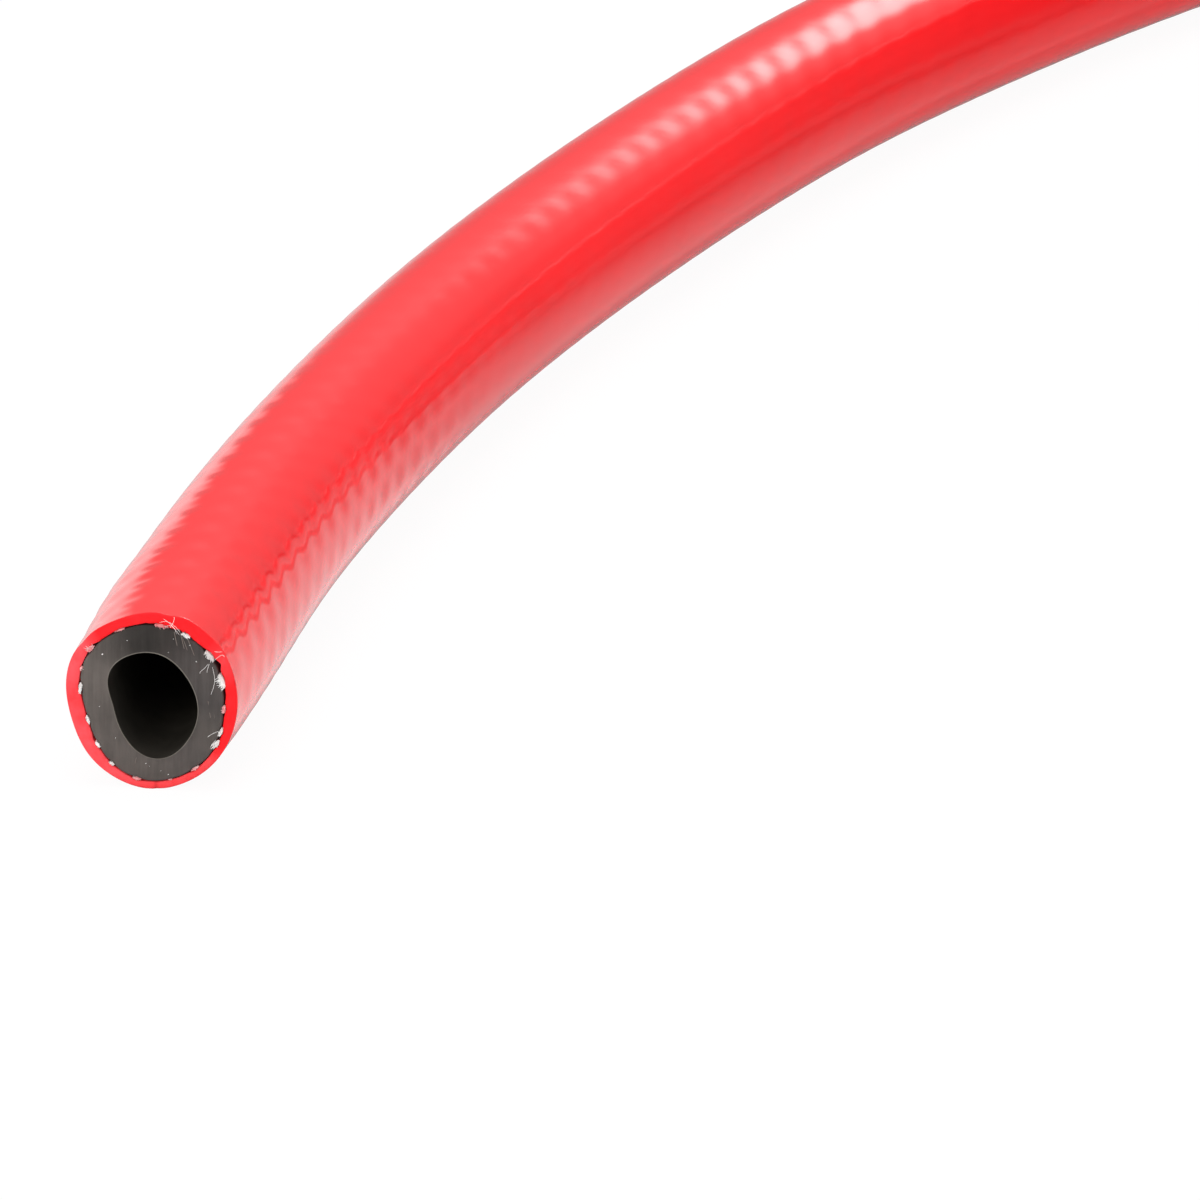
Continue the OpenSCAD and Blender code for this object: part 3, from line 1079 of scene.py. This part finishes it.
def cut_cover_material():
    """The same red where the knife went through it: matt, with fine drag marks."""
    tree = Material("red_cover_cut")
    # Round the cut the rubber is palest on the left, pinker to either side of it, duller below with a
    # narrow darker line, and deep red on the right and at the top
    deep, pink, dull = (0.88, 0.013, 0.018), (0.93, 0.078, 0.092), (0.84, 0.056, 0.063)
    dark_line, pale, palest = (0.6, 0.03, 0.034), (0.9, 0.044, 0.052), (0.93, 0.05, 0.06)
    tint = round_the_face(tree, [
        (-180, palest), (-150, pink), (-112, pink), (-89, dull), (-87, dark_line), (-85, dull),
        (-45, dull), (-32, deep), (12, deep), (34, pale), (48, deep), (128, deep), (141, pink),
        (160, pink), (180, palest),
    ])
    blotches = tree.noise(900, 4, 0.6).ramp([(0.35, (0.9, 0.75, 0.75)), (0.6, 1)])
    return tree.finished({
        "Base Color": tree.mix_colours("MULTIPLY", 1, tint, blotches),
        "Roughness": 0.6,
        "Specular IOR Level": 0.12,
        "Normal": tree.bump(drag_marks(tree), 0.03 * MM, 0.6),
    })


def tube_material():
    tree = Material("grey_tube_rubber")
    streaks = drag_marks(tree)
    mottle = tree.noise(260, 4, 0.6) * 0.5 + streaks * 0.5
    grey = mottle.ramp([(0.33, (0.070, 0.060, 0.054)), (0.68, (0.118, 0.101, 0.091))])
    # Painted shade round the face: darker at the top and on the right, lighter on the left and below
    shade = round_the_face(tree, [
        (-180, 0.96), (-150, 1), (-90, 0.87), (-55, (0.76, 0.76, 0.78)), (-25, 0.8),
        (0, (0.6, 0.61, 0.64)), (32, (0.72, 0.72, 0.75)), (60, (0.5, 0.49, 0.51)),
        (76, (0.34, 0.33, 0.33)), (92, 0.24), (108, 0.32), (124, 0.6), (146, 1), (180, 0.96),
    ])
    cut = tree.bump(streaks, 0.06 * MM, 0.8)
    return tree.finished({
        "Base Color": tree.mix_colours("MULTIPLY", 1, grey, shade),
        "Roughness": 0.6,
        "Specular IOR Level": 0.25,
        "Normal": tree.bump(tree.noise(3200, 3, 0.6), 0.02 * MM, 0.6, cut),
    })


def plain_rubber(name, colour, roughness):
    tree = Material(name)
    darker = tuple(0.75 * c for c in colour)
    return tree.finished({
        "Base Color": tree.noise(500, 3).ramp([(0.3, darker), (0.7, colour)]),
        "Roughness": roughness,
        "Specular IOR Level": 0.15,
        "Normal": tree.bump(tree.noise(3200, 3, 0.6), 0.02 * MM, 0.5),
    })


def yarn_material(name, darker, lighter):
    tree = Material(name)
    return tree.finished({
        "Base Color": tree.noise(900, 2).ramp([(0.3, darker), (0.65, lighter)]),
        "Roughness": 0.75,
        "Sheen Weight": 0.3,
        "Normal": tree.bump(tree.noise(7000, 2), 0.02 * MM, 0.5),
    })


def tie_material():
    tree = Material("black_nylon")
    darker, lighter = (0.012, 0.012, 0.013), (0.022, 0.022, 0.023)
    return tree.finished({
        "Base Color": tree.noise(150, 3).ramp([(0.3, darker), (0.7, lighter)]),
        "Roughness": tree.noise(700, 3) * 0.2 + 0.3,
        "Normal": tree.bump(tree.noise(1800, 3), 0.03 * MM, 0.5),
    })


def dress(thing, material):
    thing.data.materials.append(material)


dress(cover, cover_material())
cover.data.materials.append(cut_cover_material())
dress(tube, tube_material())
tube.data.materials.append(plain_rubber("tube_lip_rubber", (0.16, 0.145, 0.125), 0.5))
tube.data.materials.append(plain_rubber("bore_rubber", (0.03, 0.026, 0.021), 0.9))
dress(burrs, plain_rubber("burr_rubber", (0.17, 0.14, 0.125), 0.6))
yarn = yarn_material("white_yarn", (0.7, 0.66, 0.64), (0.93, 0.92, 0.9))
for thing in (braid, yarn_free, yarn_tail):
    dress(thing, yarn)
dress(yarn_free_smeared, yarn_material("smeared_yarn", (0.75, 0.16, 0.17), (0.88, 0.62, 0.61)))
nylon = tie_material()
for tie in ties:
    for piece in tie.pieces:
        dress(piece, nylon)


# ---------------------------------------------------------------- bodies and CAD nodes

for thing in [cover, tube, burrs, braid, yarn_free, yarn_free_smeared, yarn_tail]:
    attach(thing, "root")
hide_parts("cover_free_end", "cover_free_run", "cover_coil", "cover_tail")
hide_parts("inner_tube_free_end", "inner_tube_free_run", "inner_tube_coil", "inner_tube_tail")
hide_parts("braid_free_end", "braid_free_run", "braid_coil", "braid_tail")
for tie in ties:
    for piece in tie.pieces:
        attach(piece, "root")
    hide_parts("cable_tie_" + tie.where)

path = [tuple(ROUTE[i] * MM) for i in np.unique(np.searchsorted(ALONG, steps(0, LENGTH, 4.0)))]
path.append(tuple(ROUTE[-1] * MM))


# ---------------------------------------------------------------- floor and world

# How much of the paper the camera sees as pure white; the rest takes the shadow
PAPER_GLOW = 0.955


def build_floor():
    """White paper: it shows white and keeps a faint shadow; the world holds its mirror image."""
    reach = 25 / MM
    corners = [(-reach, -reach, 0), (reach, -reach, 0), (reach, reach, 0), (-reach, reach, 0)]
    floor = make_mesh("floor", corners, [(0, 1, 2, 3)])
    tree = Tree(bpy.data.materials.new("white_floor"))
    shader = tree.nodes["Principled BSDF"]
    tree.feed(shader, {"Base Color": (0.9, 0.9, 0.9, 1), "Roughness": 0.9, "Specular IOR Level": 0})
    white = tree.made("ShaderNodeEmission", 0, {})
    seen = tree.of_rays("Is Camera Ray") * PAPER_GLOW
    surface = tree.mix_shaders(seen, Value(tree, shader.outputs[0]), white)
    tree.feed(tree.nodes["Material Output"], {"Surface": surface})
    floor.data.materials.append(tree.owner)
    floor.visible_glossy = False


# Strength of the mirrored surroundings: the brightest grey level in them
BRIGHT = 7.5


def grey_levels(value, stops, low=-0.2, high=0.8):
    """Grey levels between stops of (value, level)."""
    spread = {"Value": value, "From Min": low, "From Max": high}
    share = value.tree.made("ShaderNodeMapRange", "Result", spread)
    return share.ramp([((x - low) / (high - low), level / BRIGHT) for x, level in stops])


def blend(share, first, second):
    """First where share is 0, second where it is 1."""
    return first * (share * -1 + 1) + share * second


def build_room(aside, height):
    """The lit part of the room, with the softbox high up in it, and its darker right side."""
    above = height - aside.at_most(0.3).at_least(0.0) * 0.26
    plain = grey_levels(height, [
        (-0.2, 0.5), (-0.1, 0.42), (-0.03, 0.36), (0.02, 0.29), (0.1, 0.28), (0.19, 0.3),
        (0.24, 0.34), (0.28, 0.39), (0.32, 0.43), (0.36, 0.5), (0.4, 0.6), (0.5, 0.9), (0.6, 0.7),
    ])
    lit = grey_levels(above, [
        (0.0, 0.3), (0.1, 0.34), (0.16, 0.37), (0.22, 0.4), (0.28, 0.44), (0.32, 0.46),
        (0.36, 0.47), (0.385, 0.5), (0.402, 0.64), (0.415, 0.92), (0.43, 2.3), (0.445, 5.1),
        (0.455, 7.5), (0.57, 7.5), (0.66, 0.9), (0.72, 0.5),
    ])
    dark = grey_levels(height, [
        (-0.05, 0.17), (0.04, 0.19), (0.12, 0.22), (0.24, 0.28), (0.3, 0.3), (0.36, 0.36),
        (0.42, 0.6), (0.47, 0.95), (0.55, 1.3),
    ])
    lit = blend(aside.smooth_step(0.0, 0.3), plain, lit)
    return blend(aside.smooth_step(0.49, 0.62), lit, dark)


# Things in the room: each gives the share of it that shows, and its level


def build_card(aside, height, depth):
    """A white card on the left, whose edge leans out below the horizon."""
    edge = depth * 0.44 - 0.172 + (depth - 0.21).at_least(0.0) * 2
    off = aside - edge.at_most(-0.065)
    share = off.smooth_step(0.022, -0.022) * height.smooth_step(0.2, 0.06)
    return share, aside.smooth_step(-0.172, -0.15, 0.97 / BRIGHT, 0.74 / BRIGHT)


def build_table(aside, height, depth):
    """The white table on the right: brighter with depth under its far edge, dimmer farther aside."""
    far_edge = (aside - 0.62).at_least(0.0) * -1.15 + 0.1
    below = far_edge - height
    level = grey_levels(below, [
        (-0.02, 0.2), (0.01, 0.26), (0.04, 0.34), (0.07, 0.43), (0.1, 0.57), (0.14, 0.7),
        (0.18, 0.79), (0.25, 0.88), (0.35, 0.95),
    ])
    side_edge = height * 1.1 + 0.84 - (depth - 0.4).at_least(0.0) * 5
    past = aside - side_edge.at_most(0.62)
    level = level * past.smooth_step(-0.06, 0.05, 1.0, 0.6) * aside.smooth_step(0.6, 0.74, 1.0, 0.82)
    return below.smooth_step(-0.02, 0.0) * aside.smooth_step(0.0, 0.06), level


def build_foot(aside, height):
    """The darker foot of the hose itself, under it on the table."""
    off = aside + (height * 2.2 + 0.746)
    return off.smooth_step(0.12, -0.05) * height.smooth_step(-0.3, -0.36), 0.35 / BRIGHT


def build_rail(aside, height):
    """A dark rail that shows as the thin line along the hose."""
    off = (height - (aside * 0.5 - 0.18)).math("ABSOLUTE")
    share = off.smooth_step(0.02, 0.008) * aside.smooth_step(0.38, 0.46) * aside.smooth_step(0.68, 0.6)
    return share, 0.08 / BRIGHT


def build_world():
    """White to the camera, even grey light, and in reflections a room with a long softbox."""
    world = bpy.data.worlds.new("studio")
    bpy.context.scene.world = world
    tree = Tree(world)
    tree.nodes.clear()
    aside, _, height = tree.split(tree.made("ShaderNodeTexCoord", "Generated", {}))
    depth = (height * -1).at_least(0.0)
    view = build_room(aside, height)
    for share, level in (
        build_card(aside, height, depth), build_table(aside, height, depth),
        build_foot(aside, height), build_rail(aside, height),
    ):
        view = blend(share, view, level)
    mirror, soft, white = (
        tree.made("ShaderNodeBackground", 0, {"Color": colour, "Strength": strength})
        for colour, strength in ((view, BRIGHT), ((0.55, 0.55, 0.55, 1), 1), ((1, 1, 1, 1), 1))
    )
    lit = tree.mix_shaders(tree.of_rays("Is Glossy Ray"), soft, mirror)
    surface = tree.mix_shaders(tree.of_rays("Is Camera Ray"), lit, white)
    tree.feed(tree.nodes.new("ShaderNodeOutputWorld"), {"Surface": surface})


# ---------------------------------------------------------------- lamps and camera

# Watts for each square metre of a panel that shows at a strength of 1
PANEL_GAIN = 2.9
CAMERA_PLACE = (-0.144648, -1.945585, 0.636265)
CAMERA_TILT = 71.004
CAMERA_LENS = 598.5


def add_area_light(name, shape, place, facing, size, power):
    """A light that the camera doesn't see."""
    data = bpy.data.lights.new(name, "AREA")
    data.shape = shape
    data.size, data.size_y = size
    data.energy = power
    lamp = bpy.data.objects.new(name, data)
    lamp.location = place
    lamp.rotation_euler = Vector(facing).to_track_quat("-Z", "Y").to_euler()
    lamp.visible_camera = False
    bpy.context.scene.collection.objects.link(lamp)
    return lamp


def add_lamp(name, place, aim, size, power):
    """A round lamp that lights the scene and isn't mirrored in it."""
    facing = Vector(aim) - Vector(place)
    add_area_light(name, "DISK", place, facing, (size, size), power).visible_glossy = False


def add_panel(name, place, facing, size, level):
    """A faint panel that only reflections see."""
    power = level * size[0] * size[1] * PANEL_GAIN
    panel = add_area_light(name, "RECTANGLE", place, facing, size, power)
    panel.visible_diffuse = False
    return panel


def add_standing_light():
    """An upright panel between the hose and its coil.

    It lifts the coil's mirror image in the free run, which the photograph hasn't got, and fades
    out towards its top and its far end.
    """
    place, facing, size = (-0.0737, -0.0071, 0.035), (-0.978, 0.207, 0), (0.198, 0.07)
    tree = Tree(add_panel("standing_light", place, facing, size, level=0.16).data)
    _, y, z = tree.split(tree.made("ShaderNodeNewGeometry", "Position", {}))
    fade = z.smooth_step(0.06, 0.034) * y.smooth_step(0.089, 0.066)
    tree.feed(tree.nodes["Emission"], {"Strength": fade})


def build_camera():
    data = bpy.data.cameras.new("camera")
    data.lens = CAMERA_LENS
    data.sensor_width = 36
    data.clip_end = 60
    camera = bpy.data.objects.new("camera", data)
    camera.location = CAMERA_PLACE
    camera.rotation_euler = (math.radians(CAMERA_TILT), 0, 0)
    bpy.context.scene.collection.objects.link(camera)
    bpy.context.scene.camera = camera


build_floor()
build_world()
add_lamp("top_lamp", (-0.15, -0.1, 1.7), (-0.1, 0.0, 0), size=1.6, power=24)
add_lamp("front_lamp", (-0.8, -1.35, 0.7), (-0.15, -0.1, 0), size=0.9, power=12)
add_standing_light()
# A low strip beside the first centimetres, for the same reason
add_panel("low_strip", (-0.1305, -0.0617, 0.0122), (-0.55, -0.835, 0), (0.024, 0.004), level=0.17)
build_camera()

scene = bpy.context.scene
scene.view_settings.view_transform = "Standard"
